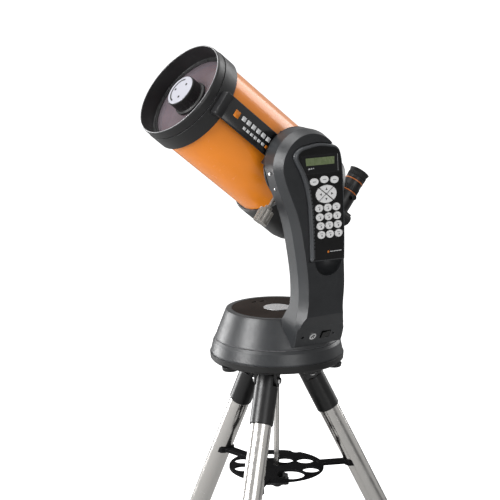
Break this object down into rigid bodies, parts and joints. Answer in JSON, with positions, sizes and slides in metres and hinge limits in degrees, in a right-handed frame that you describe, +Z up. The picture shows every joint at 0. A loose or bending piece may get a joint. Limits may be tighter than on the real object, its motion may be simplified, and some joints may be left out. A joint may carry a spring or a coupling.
{
  "type": "schmidt cassegrain telescope",
  "caption": "Short catadioptric telescope tube on a single-arm motorised mount with a hand control, on a folding steel tripod with an accessory tray.",
  "frame": {"origin": "on the floor, on the azimuth axis, midway between the three feet", "axes": "+Z up along the azimuth axis, -Y towards the arm, the tube points to -X and up at rest"},
  "size_m": [0.6724, 0.638, 1.2262],
  "materials": {
    "tube_paint": "glossy enamel over rolled aluminium",
    "cell_coat": "satin graphite coat over a casting",
    "rear_cell_coat": "satin graphite coat over a casting",
    "corrector_glass": "coated optical glass",
    "ring_black": "matt black",
    "housing_black": "satin black",
    "secondary_coat": "aluminised glass",
    "mirror_coat": "aluminised glass",
    "cap_silver": "satin anodised",
    "bar_black": "black anodised",
    "baffle_black": "matt black",
    "back_black": "black anodised",
    "carrier_metal": "machined",
    "focus_black": "ribbed rubber grip",
    "diagonal_black": "satin black",
    "eyepiece_black": "black anodised with orange bands",
    "eyecup_rubber": "soft rubber",
    "saddle_metal": "black anodised",
    "clamp_black": "ribbed knob",
    "arm_coat": "satin graphite, fine texture",
    "arm_cover_coat": "satin graphite, fine texture",
    "altitude_metal": "machined",
    "handset_gloss": "gloss black",
    "handset_grey": "satin dark grey",
    "lcd_gloss": "clear window over a green-grey display",
    "base_coat": "satin graphite",
    "door_coat": "satin graphite",
    "disc_silver": "brushed",
    "battery_plastic": "battery holder",
    "switch_black": "black rocker",
    "jack_chrome": "polished ring",
    "azimuth_metal": "machined",
    "base_ring_coat": "satin graphite coat over a casting",
    "head_black": "black coat over a casting",
    "rod_steel": "bright steel",
    "leg_steel": "polished tube",
    "leg_lower_steel": "polished tube",
    "sleeve_black": "black moulding",
    "foot_rubber": "rubber",
    "tray_black": "black moulding",
    "tray_knob_black": "black knob",
    "arrow_white": "white key",
    "function_white": "white key",
    "number_white": "white key"
  },
  "bodies": {
    "tripod": {"tripod_head": "head_black", "base_bottom": "base_ring_coat", "centre_rod": "rod_steel"},
    "turntable": {"azimuth_drive": "azimuth_metal", "base_top_shell": "base_coat", "battery_pack": "battery_plastic", "arm_shell": "arm_coat", "arm_inner_cover": "arm_cover_coat", "altitude_drive": "altitude_metal", "power_jack": "jack_chrome"},
    "door": {"battery_door": "door_coat", "level_disc": "disc_silver"},
    "switch": {"power_switch": "switch_black"},
    "saddle": {"altitude_saddle": "saddle_metal"},
    "clamp": {"clamp_knob": "clamp_black"},
    "optical_tube": {"tube_shell": "tube_paint", "front_cell": "cell_coat", "corrector_plate": "corrector_glass", "corrector_ring": "ring_black", "secondary_housing": "housing_black", "secondary_mirror": "secondary_coat", "collimation_cap": "cap_silver", "dovetail_bar": "bar_black", "rear_cell": "rear_cell_coat", "baffle_tube": "baffle_black", "visual_back": "back_black"},
    "mirror": {"primary_mirror": "mirror_coat", "mirror_carrier": "carrier_metal"},
    "focuser": {"focus_knob": "focus_black"},
    "diagonal": {"star_diagonal": "diagonal_black"},
    "eyepiece": {"eyepiece_body": "eyepiece_black", "eyecup": "eyecup_rubber"},
    "handset": {"handset_shell": "handset_gloss", "handset_back": "handset_grey", "lcd_window": "lcd_gloss"},
    "tray": {"tray": "tray_black"},
    "tray_knob": {"tray_knob": "tray_knob_black"},
    "arrow_up": {"arrow_key_up": "arrow_white"},
    "arrow_down": {"arrow_key_down": "arrow_white"},
    "arrow_left": {"arrow_key_left": "arrow_white"},
    "arrow_right": {"arrow_key_right": "arrow_white"},
    "function_left": {"function_key_left": "function_white"},
    "function_middle": {"function_key_middle": "function_white"},
    "function_right": {"function_key_right": "function_white"},
    "number_row_1": {"number_keys_row_1": "number_white"},
    "number_row_2": {"number_keys_row_2": "number_white"},
    "number_row_3": {"number_keys_row_3": "number_white"},
    "number_row_4": {"number_keys_row_4": "number_white"},
    "leg_a": {"leg_upper_a": "leg_steel", "leg_sleeve_a": "sleeve_black"},
    "lower_leg_a": {"leg_lower_a": "leg_lower_steel", "leg_foot_a": "foot_rubber"},
    "leg_b": {"leg_upper_b": "leg_steel", "leg_sleeve_b": "sleeve_black"},
    "lower_leg_b": {"leg_lower_b": "leg_lower_steel", "leg_foot_b": "foot_rubber"},
    "leg_c": {"leg_upper_c": "leg_steel", "leg_sleeve_c": "sleeve_black"},
    "lower_leg_c": {"leg_lower_c": "leg_lower_steel", "leg_foot_c": "foot_rubber"}
  },
  "joints": [
    {"name": "azimuth_turn", "type": "hinge", "parent": "tripod", "child": "turntable", "pos_m": [0, 0, 0.6575], "axis": [0, 0, 1], "continuous": true},
    {"name": "altitude_turn", "type": "hinge", "parent": "turntable", "child": "saddle", "pos_m": [-0.0331, -0.12, 1.02346], "axis": [0, 1, 0], "range_deg": [-38, 52]},
    {"name": "clamp_turn", "type": "hinge", "parent": "saddle", "child": "clamp", "pos_m": [-0.06373, -0.0895, 0.97125], "axis": [-0.6157, 0, -0.788], "continuous": true},
    {"name": "tube_slide", "type": "slide", "parent": "saddle", "child": "optical_tube", "axis": [-0.788, 0, 0.6157], "range_m": [-0.03, 0.03]},
    {"name": "focus_turn", "type": "hinge", "parent": "optical_tube", "child": "focuser", "pos_m": [0.0921, -0.052, 0.92057], "axis": [-0.788, 0, 0.6157], "range_deg": [-1925, 4805]},
    {"name": "mirror_slide", "type": "slide", "parent": "optical_tube", "child": "mirror", "axis": [-0.788, 0, 0.6157], "range_m": [-0.004, 0.01]},
    {"name": "diagonal_turn", "type": "hinge", "parent": "optical_tube", "child": "diagonal", "pos_m": [0.09062, 0.01, 0.9268], "axis": [-0.788, 0, 0.6157], "range_deg": [-50, 50]},
    {"name": "eyepiece_slide", "type": "slide", "parent": "diagonal", "child": "eyepiece", "axis": [0.6157, 0, 0.788], "range_m": [0, 0.04]},
    {"name": "handset_slide", "type": "slide", "parent": "turntable", "child": "handset", "axis": [0, -1, 0], "range_m": [0, 0.06]},
    {"name": "door_lift", "type": "slide", "parent": "turntable", "child": "door", "axis": [0, 0, 1], "range_m": [0, 0.035]},
    {"name": "power_rock", "type": "hinge", "parent": "turntable", "child": "switch", "pos_m": [0.0185, -0.12152, 0.71907], "axis": [0, -0.4947, 0.8691], "range_deg": [0, 10]},
    {"name": "arrow_up_press", "type": "slide", "parent": "handset", "child": "arrow_up", "axis": [0, 1, 0], "range_m": [0, 0.0012], "stiffness_N_per_m": 300},
    {"name": "arrow_down_press", "type": "slide", "parent": "handset", "child": "arrow_down", "axis": [0, 1, 0], "range_m": [0, 0.0012], "stiffness_N_per_m": 300},
    {"name": "arrow_left_press", "type": "slide", "parent": "handset", "child": "arrow_left", "axis": [0, 1, 0], "range_m": [0, 0.0012], "stiffness_N_per_m": 300},
    {"name": "arrow_right_press", "type": "slide", "parent": "handset", "child": "arrow_right", "axis": [0, 1, 0], "range_m": [0, 0.0012], "stiffness_N_per_m": 300},
    {"name": "function_left_press", "type": "slide", "parent": "handset", "child": "function_left", "axis": [0, 1, 0], "range_m": [0, 0.0012], "stiffness_N_per_m": 300},
    {"name": "function_middle_press", "type": "slide", "parent": "handset", "child": "function_middle", "axis": [0, 1, 0], "range_m": [0, 0.0012], "stiffness_N_per_m": 300},
    {"name": "function_right_press", "type": "slide", "parent": "handset", "child": "function_right", "axis": [0, 1, 0], "range_m": [0, 0.0012], "stiffness_N_per_m": 300},
    {"name": "number_row_1_press", "type": "slide", "parent": "handset", "child": "number_row_1", "axis": [0, 1, 0], "range_m": [0, 0.0012], "stiffness_N_per_m": 300},
    {"name": "number_row_2_press", "type": "slide", "parent": "handset", "child": "number_row_2", "axis": [0, 1, 0], "range_m": [0, 0.0012], "stiffness_N_per_m": 300},
    {"name": "number_row_3_press", "type": "slide", "parent": "handset", "child": "number_row_3", "axis": [0, 1, 0], "range_m": [0, 0.0012], "stiffness_N_per_m": 300},
    {"name": "number_row_4_press", "type": "slide", "parent": "handset", "child": "number_row_4", "axis": [0, 1, 0], "range_m": [0, 0.0012], "stiffness_N_per_m": 300},
    {"name": "leg_fold_a", "type": "hinge", "parent": "tripod", "child": "leg_a", "pos_m": [-0.04805, -0.03891, 0.62296], "axis": [0.6293, -0.7771, 0], "range_deg": [0, 12]},
    {"name": "leg_extend_a", "type": "slide", "parent": "leg_a", "child": "lower_leg_a", "axis": [-0.3495, -0.2831, -0.8931], "range_m": [-0.19, 0]},
    {"name": "leg_fold_b", "type": "hinge", "parent": "tripod", "child": "leg_b", "pos_m": [-0.00967, 0.06107, 0.62296], "axis": [-0.9877, -0.1564, 0], "range_deg": [0, 12]},
    {"name": "leg_extend_b", "type": "slide", "parent": "leg_b", "child": "lower_leg_b", "axis": [-0.0704, 0.4442, -0.8931], "range_m": [-0.19, 0]},
    {"name": "leg_fold_c", "type": "hinge", "parent": "tripod", "child": "leg_c", "pos_m": [0.05773, -0.02216, 0.62296], "axis": [0.3584, 0.9336, 0], "range_deg": [0, 12]},
    {"name": "leg_extend_c", "type": "slide", "parent": "leg_c", "child": "lower_leg_c", "axis": [0.4199, -0.1612, -0.8931], "range_m": [-0.19, 0]},
    {"name": "tray_drop", "type": "slide", "parent": "tripod", "child": "tray", "axis": [0, 0, -1], "range_m": [0, 0.206]},
    {"name": "tray_knob_turn", "type": "hinge", "parent": "tray", "child": "tray_knob", "pos_m": [0, 0, 0.4143], "axis": [0, 0, 1], "continuous": true}
  ],
  "couplings": [
    {"joint": "focus_turn", "follows": "mirror_slide", "rad_per_m": 8377.6},
    {"joint": "leg_fold_b", "follows": "leg_fold_a", "ratio": 1},
    {"joint": "leg_fold_c", "follows": "leg_fold_a", "ratio": 1},
    {"joint": "tray_drop", "follows": "leg_fold_a", "m_per_rad": 0.9788}
  ]
}
